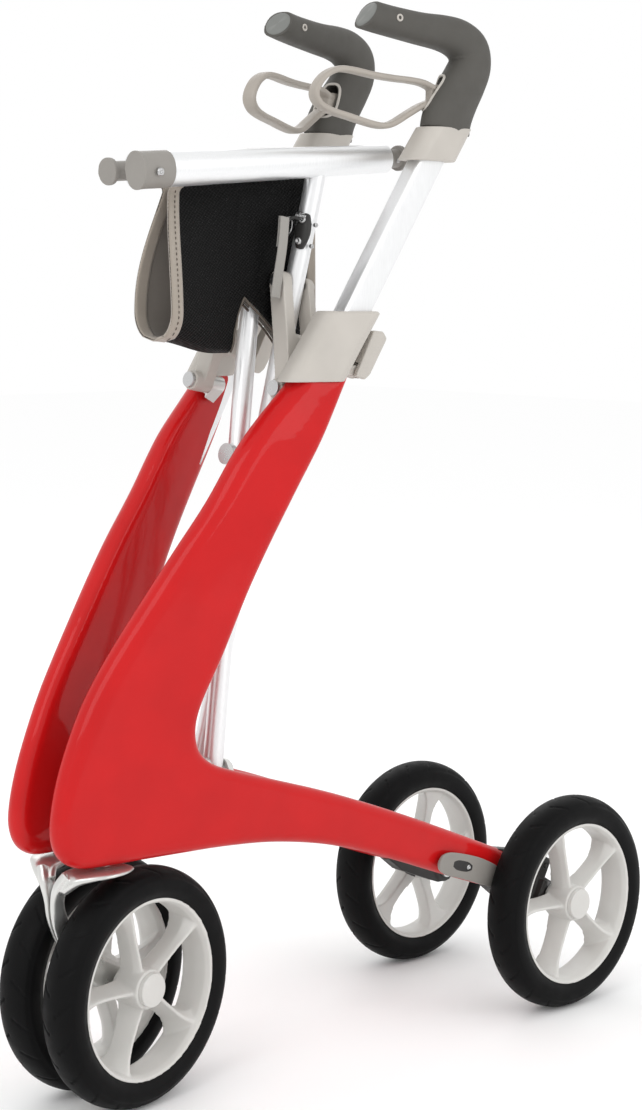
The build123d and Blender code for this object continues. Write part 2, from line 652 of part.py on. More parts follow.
def main():
    both("height_clamp", make_height_clamp)
    both("stem_bearings", make_stem_bearings)
    both("brake_cover", make_side_plate)
    both("rear_axle", make_rear_axle)
    both("brake_arm", make_brake_arm)
    for name, side in (("left", 1), ("right", -1)):
        for piece, shape in side_pieces(side * TUBE_DEPTH).items():
            save(f"{piece}_{name}", shape if side > 0 else mirror(shape, about=Plane.YZ))

    both("height_tube", make_height_tube)
    both("handle_sleeve", make_handle_sleeve)
    both("grip", make_grip)
    lever, pin = make_brake_lever()
    both("brake_lever", lambda: lever)
    both("lever_pin", lambda: pin)

    for side, name in ((1, "left"), (-1, "right")):
        save(f"fork_{name}", make_fork(side))
        save(f"front_axle_{name}", make_front_axle(side))
        for piece, shape in make_wheel().items():
            save(f"rear_{piece}_{name}", wheel_place(side, side * REAR_WHEEL_X, 0, 0) * shape)
            hub = caster_frame(side) * Pos(0, CASTER_TRAIL, 0)
            place = wheel_place(side, hub.position.X, hub.position.Y, CASTER_YAW)
            save(f"front_{piece}_{name}", place * shape)

    for side, name in ((1, "left"), (-1, "right")):
        save(f"sling_{name}", make_sling_half(side))
        save(f"seat_frame_{name}", make_seat_frame(side))
        save(f"rail_caps_{name}", make_rail_caps(side))
    save("centre_pivot", make_centre_pivot())
    save("fold_latch", make_fold_latch())
    save("release_strap", make_release_strap())


main()
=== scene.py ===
import json
from math import atan2, cos, pi, radians, sin, sqrt, tan

import bmesh
import bpy
from mathutils import Matrix, Vector
from mathutils.bvhtree import BVHTree
from mathutils.geometry import delaunay_2d_cdt


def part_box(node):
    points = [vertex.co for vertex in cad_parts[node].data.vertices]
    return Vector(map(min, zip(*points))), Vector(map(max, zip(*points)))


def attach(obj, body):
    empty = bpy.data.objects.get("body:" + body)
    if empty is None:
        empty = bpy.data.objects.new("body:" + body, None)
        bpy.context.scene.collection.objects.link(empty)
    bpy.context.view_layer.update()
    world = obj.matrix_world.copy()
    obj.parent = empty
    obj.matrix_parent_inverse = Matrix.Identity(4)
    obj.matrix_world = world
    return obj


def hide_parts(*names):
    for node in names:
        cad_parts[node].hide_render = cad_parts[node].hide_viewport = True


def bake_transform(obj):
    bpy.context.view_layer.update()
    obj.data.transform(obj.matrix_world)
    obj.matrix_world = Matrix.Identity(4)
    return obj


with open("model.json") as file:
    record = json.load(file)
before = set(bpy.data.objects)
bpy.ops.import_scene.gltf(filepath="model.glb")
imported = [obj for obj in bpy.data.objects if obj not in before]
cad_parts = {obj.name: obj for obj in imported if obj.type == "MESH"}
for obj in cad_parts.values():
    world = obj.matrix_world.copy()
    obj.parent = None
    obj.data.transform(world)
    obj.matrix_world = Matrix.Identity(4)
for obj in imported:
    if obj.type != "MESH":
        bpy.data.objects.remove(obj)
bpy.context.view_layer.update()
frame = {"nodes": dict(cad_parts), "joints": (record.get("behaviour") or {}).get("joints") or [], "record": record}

MM = 0.001
SIDES = (("left", 1), ("right", -1))
NODES = frame["nodes"]
JOINTS = {joint["name"]: joint for joint in frame["joints"]}
SLOTS = {row["node"]: row["material_slot"] for row in frame["record"]["subparts"]}
AXLE_LOW, AXLE_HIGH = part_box("rear_axle_left")
REAR_Y = (AXLE_LOW.y + AXLE_HIGH.y) / 2


def at(x, y, z):
    """Point given in millimetres from the rear axle line, as a point of the frame."""
    return Vector((x * MM, y * MM + REAR_Y, z * MM))


# ---- camera, light and floor ---------------------------------------------
CAMERA_SPOT = (1363.0, -1579.0, 674.0)
CAMERA_AZIMUTH = 45.35
CAMERA_ELEVATION = 7.09
CAMERA_ROLL = 0.75
CAMERA_LENS = 71.25
WORLD_LIGHT = 1.0
LAMP_AIM = Vector((0, 0, 0.45))
FLOOR_HALF = 9.0
# Place, size and power of each lamp
LAMPS = {
    "key": ((0.6, -2.6, 2.4), 1.8, 22),
    "side": ((2.8, 0.8, 1.6), 1.6, 14),
    "back": ((-2.4, 1.6, 2.2), 1.8, 14),
}


def make_camera():
    az, el, roll = (radians(a) for a in (CAMERA_AZIMUTH, CAMERA_ELEVATION, CAMERA_ROLL))
    back = Vector((sin(az) * cos(el), -cos(az) * cos(el), sin(el)))
    right = Vector((cos(az), sin(az), 0))
    up = back.cross(right)
    tilted_right = right * cos(roll) + up * sin(roll)
    tilted_up = up * cos(roll) - right * sin(roll)
    camera = bpy.data.objects.new("camera", bpy.data.cameras.new("camera"))
    bpy.context.scene.collection.objects.link(camera)
    rotation = Matrix((tilted_right, tilted_up, back)).transposed().to_4x4()
    camera.matrix_world = Matrix.Translation(at(*CAMERA_SPOT)) @ rotation
    camera.data.lens = CAMERA_LENS
    camera.data.sensor_width = 36.0
    camera.data.clip_end = 50.0
    bpy.context.scene.camera = camera


def make_light(name, spot, size, power):
    light = bpy.data.lights.new(name, "AREA")
    light.energy = power
    light.size = size
    lamp = bpy.data.objects.new(name, light)
    bpy.context.scene.collection.objects.link(lamp)
    aim = LAMP_AIM - Vector(spot)
    lamp.location = spot
    lamp.rotation_euler = aim.to_track_quat("-Z", "Y").to_euler()


def make_stage():
    scene = bpy.context.scene
    scene.view_settings.view_transform = "Standard"
    world = bpy.data.worlds.new("studio")
    world.use_nodes = True
    world.node_tree.nodes["Background"].inputs["Color"].default_value = (1, 1, 1, 1)
    world.node_tree.nodes["Background"].inputs["Strength"].default_value = WORLD_LIGHT
    scene.world = world
    for name, (spot, size, power) in LAMPS.items():
        make_light(name, spot, size, power)
    corners = [(x * FLOOR_HALF, y * FLOOR_HALF, 0) for x, y in ((-1, -1), (1, -1), (1, 1), (-1, 1))]
    floor = build("floor", corners, [(0, 1, 2, 3)])
    pale = moulded("floor_pale", (0.985, 0.985, 0.985), 1.0, grain=60, depth=0.0, vary=0.0, gloss=0.0)
    floor.data.materials.append(pale)


# ---- materials -------------------------------------------------------------
def material_graph(name):
    """New node material with its shader and its object coordinates."""
    material = bpy.data.materials.new(name)
    material.use_nodes = True
    tree = material.node_tree
    shader = tree.nodes["Principled BSDF"]
    place = tree.nodes.new("ShaderNodeTexCoord").outputs["Object"]
    return material, tree, shader, place


def noise(tree, place, scale, detail=3.0):
    node = tree.nodes.new("ShaderNodeTexNoise")
    node.inputs["Scale"].default_value = scale
    node.inputs["Detail"].default_value = detail
    tree.links.new(place, node.inputs["Vector"])
    return node.outputs["Fac"]


def remap(tree, value, low, high):
    node = tree.nodes.new("ShaderNodeMapRange")
    node.inputs["From Min"].default_value = 0.3
    node.inputs["From Max"].default_value = 0.7
    node.inputs["To Min"].default_value = low
    node.inputs["To Max"].default_value = high
    tree.links.new(value, node.inputs["Value"])
    return node.outputs["Result"]


def mix(tree, factor, first, second):
    node = tree.nodes.new("ShaderNodeMix")
    node.data_type = "RGBA"
    sockets = [s for s in node.inputs if s.type == "RGBA"]
    for socket, colour in zip(sockets, (first, second)):
        if isinstance(colour, bpy.types.NodeSocket):
            tree.links.new(colour, socket)
        else:
            socket.default_value = (*colour, 1)
    tree.links.new(factor, node.inputs["Factor"])
    return [s for s in node.outputs if s.type == "RGBA"][0]


def add_bump(tree, shader, height, strength, distance):
    bump = tree.nodes.new("ShaderNodeBump")
    bump.inputs["Strength"].default_value = strength
    bump.inputs["Distance"].default_value = distance
    tree.links.new(height, bump.inputs["Height"])
    tree.links.new(bump.outputs["Normal"], shader.inputs["Normal"])


def edge_light(tree, colour, lighter, amount):
    """Colour that turns lighter on worn convex edges."""
    pointiness = tree.nodes.new("ShaderNodeNewGeometry").outputs["Pointiness"]
    ramp = tree.nodes.new("ShaderNodeMapRange")
    ramp.inputs["From Min"].default_value = 0.52
    ramp.inputs["From Max"].default_value = 0.62
    ramp.inputs["To Max"].default_value = amount
    tree.links.new(pointiness, ramp.inputs["Value"])
    return mix(tree, ramp.outputs["Result"], colour, lighter)


def moulded(name, colour, rough, metal=0.0, coat=0.0, grain=2200, depth=0.15, vary=0.05, gloss=0.5):
    """Material with slow colour variation, uneven gloss, a fine grain and worn edges."""
    material, tree, shader, place = material_graph(name)
    darker = [c * (1 - vary) for c in colour]
    lighter = [min(1.0, c * (1 + vary)) for c in colour]
    body = mix(tree, remap(tree, noise(tree, place, 22), 0, 1), darker, lighter)
    worn = [min(1.0, c * 1.35 + 0.02) for c in colour]
    tree.links.new(edge_light(tree, body, worn, 0.35), shader.inputs["Base Color"])
    uneven = remap(tree, noise(tree, place, 90, 5), rough * 0.88, min(1.0, rough * 1.14))
    tree.links.new(uneven, shader.inputs["Roughness"])
    add_bump(tree, shader, noise(tree, place, grain, 4), depth, 0.0004)
    shader.inputs["Metallic"].default_value = metal
    shader.inputs["Coat Weight"].default_value = coat
    shader.inputs["Coat Roughness"].default_value = 0.05
    shader.inputs["Specular IOR Level"].default_value = gloss
    return material


def brushed(name, colour, rough):
    """Drawn metal: fine lines along the height of the tube."""
    material, tree, shader, place = material_graph(name)
    stretch = tree.nodes.new("ShaderNodeMapping")
    stretch.inputs["Scale"].default_value = (900, 900, 25)
    tree.links.new(place, stretch.inputs["Vector"])
    lines = noise(tree, stretch.outputs["Vector"], 2.0, 5)
    darker = [c * 0.93 for c in colour]
    tree.links.new(mix(tree, remap(tree, lines, 0, 1), darker, colour), shader.inputs["Base Color"])
    tree.links.new(remap(tree, lines, rough * 0.85, rough * 1.2), shader.inputs["Roughness"])
    add_bump(tree, shader, lines, 0.08, 0.0002)
    shader.inputs["Metallic"].default_value = 0.75
    return material


def mesh_cloth(name, thread, gap):
    """Open black mesh: slanting rows of small eyes between threads."""
    material, tree, shader, place = material_graph(name)
    turn = tree.nodes.new("ShaderNodeMapping")
    turn.inputs["Rotation"].default_value = (radians(35), 0, 0)
    turn.inputs["Scale"].default_value = (0, 330, 480)
    tree.links.new(place, turn.inputs["Vector"])
    eyes = tree.nodes.new("ShaderNodeTexVoronoi")
    eyes.inputs["Scale"].default_value = 1.0
    eyes.inputs["Randomness"].default_value = 0.12
    tree.links.new(turn.outputs["Vector"], eyes.inputs["Vector"])
    rows = remap(tree, eyes.outputs["Distance"], 0, 1)
    tree.links.new(mix(tree, rows, gap, thread), shader.inputs["Base Color"])
    shader.inputs["Roughness"].default_value = 0.6
    shader.inputs["Specular IOR Level"].default_value = 0.12
    add_bump(tree, shader, rows, 0.9, 0.0006)
    return material


def woven(name, colour, pitch, rough=0.85):
    """Plain weave: two crossed sets of fine waves."""
    material, tree, shader, place = material_graph(name)
    waves = []
    for direction in ("Y", "Z"):
        wave = tree.nodes.new("ShaderNodeTexWave")
        wave.bands_direction = direction
        wave.inputs["Scale"].default_value = pitch
        wave.inputs["Distortion"].default_value = 0.4
        tree.links.new(place, wave.inputs["Vector"])
        waves.append(wave.outputs["Fac"])
    weave = tree.nodes.new("ShaderNodeMath")
    weave.operation = "MULTIPLY"
    for wave, socket in zip(waves, weave.inputs):
        tree.links.new(wave, socket)
    shade = remap(tree, noise(tree, place, 60), 0, 1)
    body = mix(tree, shade, [c * 0.86 for c in colour], colour)
    threads = mix(tree, weave.outputs["Value"], [c * 0.7 for c in colour], body)
    tree.links.new(threads, shader.inputs["Base Color"])
    shader.inputs["Roughness"].default_value = rough
    shader.inputs["Sheen Weight"].default_value = 0.3
    add_bump(tree, shader, weave.outputs["Value"], 0.5, 0.0004)
    return material


FINISH = {
    "frame_red": moulded(
        "red_lacquer", (0.51, 0.007, 0.008), 0.4, coat=0.3, grain=320, depth=0.01, gloss=0.08
    ),
    "housing_grey": moulded("light_grey_moulding", (0.48, 0.45, 0.41), 0.5),
    "lever_grey": moulded("warm_grey_moulding", (0.36, 0.325, 0.285), 0.46),
    "cap_grey": moulded("cap_grey_moulding", (0.25, 0.235, 0.215), 0.5),
    "dark_plastic": moulded("dark_moulding", (0.03, 0.029, 0.028), 0.45, gloss=0.3),
    "grip_rubber": moulded("soft_grip", (0.082, 0.078, 0.070), 0.62, grain=3200, depth=0.35, gloss=0.3),
    "tyre_black": moulded("tyre_rubber", (0.004, 0.004, 0.0042), 0.5, grain=1600, depth=0.3, gloss=0.08),
    "rim_grey": moulded("rim_moulding", (0.60, 0.59, 0.565), 0.42),
    "tube_silver": brushed("drawn_tube", (0.86, 0.865, 0.87), 0.34),
    "cast_silver": moulded("cast_metal", (0.64, 0.64, 0.62), 0.3, metal=0.85, grain=900, depth=0.12),
    "bolt_steel": moulded("machined_steel", (0.50, 0.50, 0.50), 0.28, metal=1.0),
    "bearing_steel": moulded("ground_steel", (0.5, 0.5, 0.52), 0.22, metal=1.0),
    "sling_mesh": mesh_cloth("mesh_cloth", (0.014, 0.014, 0.014), (0.001, 0.001, 0.001)),
    "strap_grey": woven("webbing", (0.42, 0.40, 0.37), 420),
}
LINING = woven("cloth_lining", (0.25, 0.222, 0.195), 330)
BINDING = woven("edge_binding", (0.47, 0.41, 0.345), 520)
THREAD = moulded("dark_thread", (0.09, 0.075, 0.06), 0.8)
END_CAP = moulded("grip_end_moulding", (0.17, 0.175, 0.165), 0.55)


# ---- mesh tools --------------------------------------------------------------
def build(name, points, faces):
    mesh = bpy.data.meshes.new(name)
    mesh.from_pydata([tuple(p) for p in points], [], faces)
    mesh.update()
    piece = bpy.data.objects.new(name, mesh)
    bpy.context.scene.collection.objects.link(piece)
    return piece


def smooth_shading(piece):
    piece.data.polygons.foreach_set("use_smooth", [True] * len(piece.data.polygons))


def bake(piece):
    """Replace a piece's mesh by what its modifiers make of it."""
    graph = bpy.context.evaluated_depsgraph_get()
    made = bpy.data.meshes.new_from_object(piece.evaluated_get(graph))
    piece.modifiers.clear()
    piece.data = made
    smooth_shading(piece)


def fuse(piece, voxel, passes, keep=1.0):
    """Melt a piece's solids into one rounded surface."""
    remesh = piece.modifiers.new("remesh", "REMESH")
    remesh.mode = "VOXEL"
    remesh.voxel_size = voxel * MM
    relax = piece.modifiers.new("relax", "SMOOTH")
    relax.factor = 0.5
    relax.iterations = passes
    if keep < 1.0:
        thin = piece.modifiers.new("thin", "DECIMATE")
        thin.ratio = keep
    bake(piece)


def finish(piece, finish_name, body, *nodes):
    """Give a piece its material and slot, the CAD body it moves with and the nodes it stands for."""
    piece.data.materials.clear()
    piece.data.materials.append(FINISH[finish_name])
    smooth_shading(piece)
    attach(piece, body)
    if nodes:
        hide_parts(*nodes)
    return piece


def soften(node, body, voxel, passes, keep=1.0, finish_name=None):
    """Rounded, detailed version of a CAD node, made from the node's own mesh."""
    piece = bpy.data.objects.new(f"{node}_shell", NODES[node].data.copy())
    bpy.context.scene.collection.objects.link(piece)
    fuse(piece, voxel, passes, keep)
    return finish(piece, finish_name or SLOTS[node], body, node)


def spline(points, steps):
    """Catmull-Rom through rows of numbers, the ends included."""
    rows = [points[0], *points, points[-1]]
    path = []
    for a, b, c, d in zip(rows, rows[1:], rows[2:], rows[3:]):
        for k in range(steps):
            t = k / steps
            path.append([
                0.5 * (
                    2 * q + (r - p) * t
                    + (2 * p - 5 * q + 4 * r - s) * t**2
                    + (3 * q - p - 3 * r + s) * t**3
                )
                for p, q, r, s in zip(a, b, c, d)
            ])
    path.append(list(points[-1]))
    return path


def sweep(stations, across, steps=6, sides=20, power=2.4):
    """Closed bar through stations (x, y, z, half width, half height); across is its width's direction."""
    rows = spline(stations, steps)
    centres = [Vector(row[:3]) for row in rows]
    points, faces = [], []
    for i, row in enumerate(rows):
        ahead = centres[min(i + 1, len(rows) - 1)] - centres[max(i - 1, 0)]
        height = ahead.cross(across).normalized()
        width = height.cross(ahead).normalized()
        for k in range(sides):
            a = 2 * pi * k / sides
            u = abs(cos(a)) ** (2 / power) * (1 if cos(a) >= 0 else -1)
            v = abs(sin(a)) ** (2 / power) * (1 if sin(a) >= 0 else -1)
            points.append(centres[i] + width * u * row[3] + height * v * row[4])
    for i in range(len(rows) - 1):
        for k in range(sides):
            a, b = i * sides + k, i * sides + (k + 1) % sides
            faces.append((a, b, b + sides, a + sides))
    faces.append(tuple(reversed(range(sides))))
    faces.append(tuple(range(len(points) - sides, len(points))))
    return points, faces


def lathe(profile, segments, closed=True, shape=None):
    """Ring about local Z from a profile of (radius, height); shape may move a point by its angle."""
    points, faces = [], []
    count = len(profile)
    for s in range(segments):
        angle = 2 * pi * s / segments
        for radius, height in profile:
            r = radius - (shape(angle, radius, height) if shape else 0.0)
            points.append(Vector((r * cos(angle), r * sin(angle), height)))
    for s in range(segments):
        for k in range(count if closed else count - 1):
            a, b = s * count + k, s * count + (k + 1) % count
            c, d = (s + 1) % segments * count + (k + 1) % count, (s + 1) % segments * count + k
            faces.append((a, d, c, b))
    return points, faces


def join(*shapes):
    points, faces = [], []
    for shape_points, shape_faces in shapes:
        start = len(points)
        points += shape_points
        faces += [tuple(i + start for i in face) for face in shape_faces]
    return points, faces


def moved(shape, matrix):
    return [matrix @ (Vector(p) * MM) for p in shape[0]], shape[1]


def placed(shape):
    """Shape given in millimetres from the rear axle line, as points of the frame."""
    return [at(*p) for p in shape[0]], shape[1]


def read(rows, value):
    """Columns of a table at a value of its first column, on a smooth curve."""
    rows = [rows[0], *rows, rows[-1]]
    k = 1
    while k < len(rows) - 3 and value > rows[k + 1][0]:
        k += 1
    p, q, r, s = rows[k - 1:k + 3]
    t = max(0.0, min(1.0, (value - q[0]) / (r[0] - q[0])))
    result = []
    for a, b, c, d in zip(p[1:], q[1:], r[1:], s[1:]):
        slope_b, slope_c = (c - a) / 2, (d - b) / 2
        bend = 3 * (c - b) - 2 * slope_b - slope_c
        twist = 2 * (b - c) + slope_b + slope_c
        result.append(b + slope_b * t + bend * t * t + twist * t**3)
    return result


def carve(piece, cutter):
    """Cut one closed mesh out of another."""
    cut = piece.modifiers.new("cut", "BOOLEAN")
    cut.operation = "DIFFERENCE"
    cut.solver = "EXACT"
    cut.object = cutter
    bake(piece)
    bpy.data.objects.remove(cutter)


def surface(piece):
    return BVHTree.FromPolygons(
        [v.co for v in piece.data.vertices], [tuple(f.vertices) for f in piece.data.polygons]
    )


# ---- side frames ---------------------------------------------------------------
FRAME_EDGE = [
    (-319, 602), (-329, 590), (-372.5, 545), (-406, 498), (-437, 459), (-466, 420), (-500, 372),
    (-522, 335), (-541, 289), (-549.5, 252), (-547.5, 230), (-537, 216.5), (-517, 211), (-470, 210.5),
    (-430, 210), (-386, 209), (-335, 204.5), (-280, 194), (-234, 180), (-186, 162.5), (-136, 143),
    (-84, 124), (-52, 115.5), (-42, 122), (-41, 136), (-50, 149), (-84, 164), (-136, 186), (-186, 206.5),
    (-234, 225), (-280, 241.5), (-335, 259), (-378, 272.5), (-401, 281.5), (-416, 294), (-421.5, 312),
    (-417, 334), (-398, 372), (-376, 420), (-355, 459), (-331.5, 498), (-302.5, 545), (-279, 592),
    (-273, 603),
]
# Height, middle across, middle along and toe angle of the upright
UPRIGHT = [
    (205, 33.0, -494, 9), (285, 35.0, -485.5, 10), (372, 41.0, -449, 11.5), (459, 51.2, -396, 10.5),
    (545, 58.6, -337.5, 12), (592, 61.4, -308, 15), (606, 62.0, -299, 15.5),
]
# Station and middle across of the lower arm
LOWER_ARM = [(-555, 26.6), (-470, 35.5), (-386, 44.5), (-280, 52.2), (-136, 61.5), (-35, 65.4)]
EDGE_RADIUS = 13.0
EDGE_POWER = 2.3
EDGE_ROWS = (0.5, 1.6, 3.4, 5.8, 8.8, EDGE_RADIUS)
FRAME_HALF = 12.1
FRAME_CROWN = 0.7
PLAN_PITCH = 7
LINK_AXIS = (38.5, 58.5)
LINK_TOP = (12.6, 150.5)
BRACE_LEAN = radians(10)
BRACE_PIVOT = (0, -320, 525.5)
TUBE_DEPTH = 13.0
POCKET_MIDDLE = 10.6
POCKET_HALF = 9.1
POCKET_REACH = (-28.7, 23.5)


def brace_point(x, w, depth):
    """Point of the cross-brace plane: across, up along it, and in front of it."""
    px, py, pz = BRACE_PIVOT
    lean_s, lean_c = sin(BRACE_LEAN), cos(BRACE_LEAN)
    return px + x, py + w * lean_s - depth * lean_c, pz + w * lean_c + depth * lean_s


def frame_middle(y, z):
    """Middle of the side frame across the walker at a point of its outline plane."""
    across, along, toe = read(UPRIGHT, z)
    upright = across + (y - along) * tan(radians(toe))
    lower = read(LOWER_ARM, y)[0]
    return lower + (upright - lower) * ease((z - 235) / 110)


def edge_distance(point, edge):
    nearest = 1e9
    for a, b in zip(edge, edge[1:] + edge[:1]):
        along = b - a
        t = max(0.0, min(1.0, (point - a).dot(along) / along.length_squared))
        nearest = min(nearest, (point - a - along * t).length)
    return nearest


def frame_half_thickness(distance, z):
    """Half thickness at a distance from the outline: a rounded edge and a slight crown."""
    full = FRAME_HALF + ease((z - 335) / 85)
    inward = min(1.0, distance / EDGE_RADIUS)
    crown = FRAME_CROWN * ease((distance - EDGE_RADIUS) / 30)
    return full * (1 - (1 - inward) ** EDGE_POWER) ** (1 / EDGE_POWER) + crown - FRAME_CROWN


def frame_plan():
    """Triangles over the frame's outline, with rows of points that follow its edge."""
    edge = [Vector(p) for p in spline(FRAME_EDGE, 8)]
    points = []
    for k, spot in enumerate(edge):
        along = (edge[(k + 1) % len(edge)] - edge[k - 1]).normalized()
        inward = Vector((-along.y, along.x))
        points += [(spot + inward * inset, inset) for inset in EDGE_ROWS]
    for y in range(-546, -40, PLAN_PITCH):
        points += [
            (Vector((y, z)), EDGE_RADIUS + PLAN_PITCH / 2) for z in range(118, 602, PLAN_PITCH)
        ]
    kept = list(edge)
    distances = [0.0] * len(edge)
    inside = outline_test(edge)
    for point, least in points:
        if inside(point):
            distance = edge_distance(point, edge)
            if distance > least - 0.3:
                kept.append(point)
                distances.append(distance)
    made = delaunay_2d_cdt(kept, [], [tuple(range(len(edge)))], 1, 0.001)
    origins = [ids[0] for ids in made[3]]
    return [(kept[i], distances[i]) for i in origins], made[2]


def outline_test(edge):
    """Function that says whether a point of the plane is inside a closed outline."""
    pairs = list(zip(edge, edge[1:] + edge[:1]))

    def inside(point):
        crossings = 0
        for a, b in pairs:
            if (a.y > point.y) != (b.y > point.y):
                reach = a.x + (point.y - a.y) / (b.y - a.y) * (b.x - a.x)
                crossings += point.x < reach
        return crossings % 2 == 1

    return inside


def frame_pocket(side):
    """Cutter for the hollow on the inner face that the folded link lies in."""
    back = -side * TUBE_DEPTH + POCKET_MIDDLE
    x, w = LINK_AXIS
    shapes = []
    for (x0, w0), (x1, w1) in (((x, w), (x - 11, w + 42)), ((x - 11, w + 42), LINK_TOP)):
        along = Vector((x1 - x0, w1 - w0)).normalized()
        beside = Vector((-along.y, along.x)) * POCKET_HALF
        ring = []
        for centre, start in ((Vector((x1, w1)), 1), (Vector((x0, w0)), -1)):
            for k in range(9):
                a = pi * k / 8
                ring.append(centre + (beside * -cos(a) + along * POCKET_HALF * sin(a)) * start)
        count = len(ring)
        points = [brace_point(p.x, p.y, back + reach) for reach in POCKET_REACH for p in ring]
        points = [(side * px, py, pz) for px, py, pz in points]
        faces = [tuple(range(count)), tuple(reversed(range(count, 2 * count)))]
        faces += [(k, k + count, (k + 1) % count + count, (k + 1) % count) for k in range(count)]
        shapes.append((points, faces))
    cutter = build("pocket", *placed(join(*shapes)))
    remesh = cutter.modifiers.new("close", "REMESH")
    remesh.mode = "VOXEL"
    remesh.voxel_size = 1.0 * MM
    bake(cutter)
    return cutter


def make_side_frames():
    """Lacquered frames: one pillowed surface over the outline, without a seam."""
    plan, triangles = frame_plan()
    count = len(plan)
    for name, side in SIDES:
        points = []
        for face in (1, -1):
            for point, distance in plan:
                half = frame_half_thickness(distance, point.y) if distance > 0 else 0.0
                middle = frame_middle(point.x, point.y)
                points.append(at(side * (middle + face * half), point.x, point.y))
        faces = [tuple(f) for f in triangles] + [tuple(i + count for i in reversed(f)) for f in triangles]
        shell = build(f"{name}_frame_shell", points, faces)
        weld = bmesh.new()
        weld.from_mesh(shell.data)
        bmesh.ops.remove_doubles(weld, verts=weld.verts, dist=0.02 * MM)
        bmesh.ops.recalc_face_normals(weld, faces=weld.faces)
        weld.to_mesh(shell.data)
        weld.free()
        fuse(shell, 1.2, 14, 0.4)
        carve(shell, frame_pocket(side))
        finish(shell, "frame_red", f"{name}_frame", f"side_frame_{name}")


# ---- wheels --------------------------------------------------------------------
WHEEL_R = 100.0
TYRE_HALF = 18.0
RIM_R = 76.0
HUB_R = 16.6
SPOKES = 5
SPOKE_TURN = radians(14)
SIPES = 20
SIPE_DEPTH = 0.9


def wheel_matrix(side, joint_name):
    joint = JOINTS[joint_name]
    out = Vector(joint["axis"]).normalized() * side
    up = Vector((0, 0, 1))
    forward = out.cross(up)
    return Matrix.Translation(joint["pos_m"]) @ Matrix((up, forward, out)).transposed().to_4x4()


def tread(angle, radius, height):
    """Depth of the curved sipes and of the two rings at a point of the tread."""
    if radius < 88.0:
        return 0.0
    bend = 0.55 * (abs(height) / TYRE_HALF) ** 1.5
    phase = (angle * SIPES / (2 * pi) + bend + (0.5 if height < 0 else 0.0)) % 1.0
    sipe = SIPE_DEPTH if phase < 0.06 and 3.5 < abs(height) < 15.5 else 0.0
    ring = 0.6 if abs(abs(height) - 15.8) < 0.8 else 0.0
    return max(sipe, ring)


def tyre_profile():
    profile = [(RIM_R - 0.5, -15.5)]
    steps = 44
    for k in range(steps + 1):
        a = -pi / 2 + pi * k / steps
        reach = abs(cos(a)) ** 0.62
        profile.append((82.0 + (WHEEL_R - 82.0) * reach, TYRE_HALF * sin(a)))
    profile.append((RIM_R - 0.5, 15.5))
    return profile


def spoke():
    """One wheel spoke along local X: a ridge on the outside, flared where it meets the rim."""
    rows = [
        (12, 8.5, 10.5), (22, 6.4, 10.0), (38, 5.4, 9.4), (54, 6.4, 9.6), (65, 11.5, 11.0), (73, 21.0, 12.5),
    ]
    points, faces = [], []
    for reach, wide, deep in spline(rows, 3):
        lean = 0.22 * wide
        section = [
            (-wide, -deep), (wide, -deep), (wide * 0.62 + lean, deep * 0.35),
            (1.2 + lean, deep), (-1.2 + lean, deep),
        ]
        points += [Vector((reach, y, z)) for y, z in section]
    rings = len(points) // 5
    for i in range(rings - 1):
        for k in range(5):
            a, b = i * 5 + k, i * 5 + (k + 1) % 5
            faces.append((a, b, b + 5, a + 5))
    faces.append((4, 3, 2, 1, 0))
    faces.append(tuple(range(len(points) - 5, len(points))))
    return points, faces


def make_wheel(side, name, place):
    body = f"{name}_{place}_wheel"
    matrix = wheel_matrix(side, f"{name}_{place}_roll")
    tyre = build(f"{name}_{place}_tyre_tread", *moved(lathe(tyre_profile(), 480, shape=tread), matrix))
    finish(tyre, "tyre_black", body, f"{place}_tyre_{name}")
    band = [(RIM_R, -15.8), (RIM_R, 15.8), (73.2, 15.8), (70.8, 11), (70.2, 0), (70.8, -11), (73.2, -15.8)]
    ring = lathe(band, 160)
    hub = lathe([(9.2, -13.8), (HUB_R, -13.8), (HUB_R, 13.8), (9.2, 13.8)], 64)
    arms = []
    for k in range(SPOKES):
        turn = Matrix.Rotation(2 * pi * k / SPOKES + SPOKE_TURN, 4, "Z")
        arm = spoke()
        arms.append(([turn @ p for p in arm[0]], arm[1]))
    rim = build(f"{name}_{place}_rim_spokes", *moved(join(ring, hub, *arms), matrix))
    fuse(rim, 1.05, 6, 0.4)
    finish(rim, "rim_grey", body, f"{place}_rim_{name}")


# ---- casters -----------------------------------------------------------------------
FORK_ARM_X = 22.0


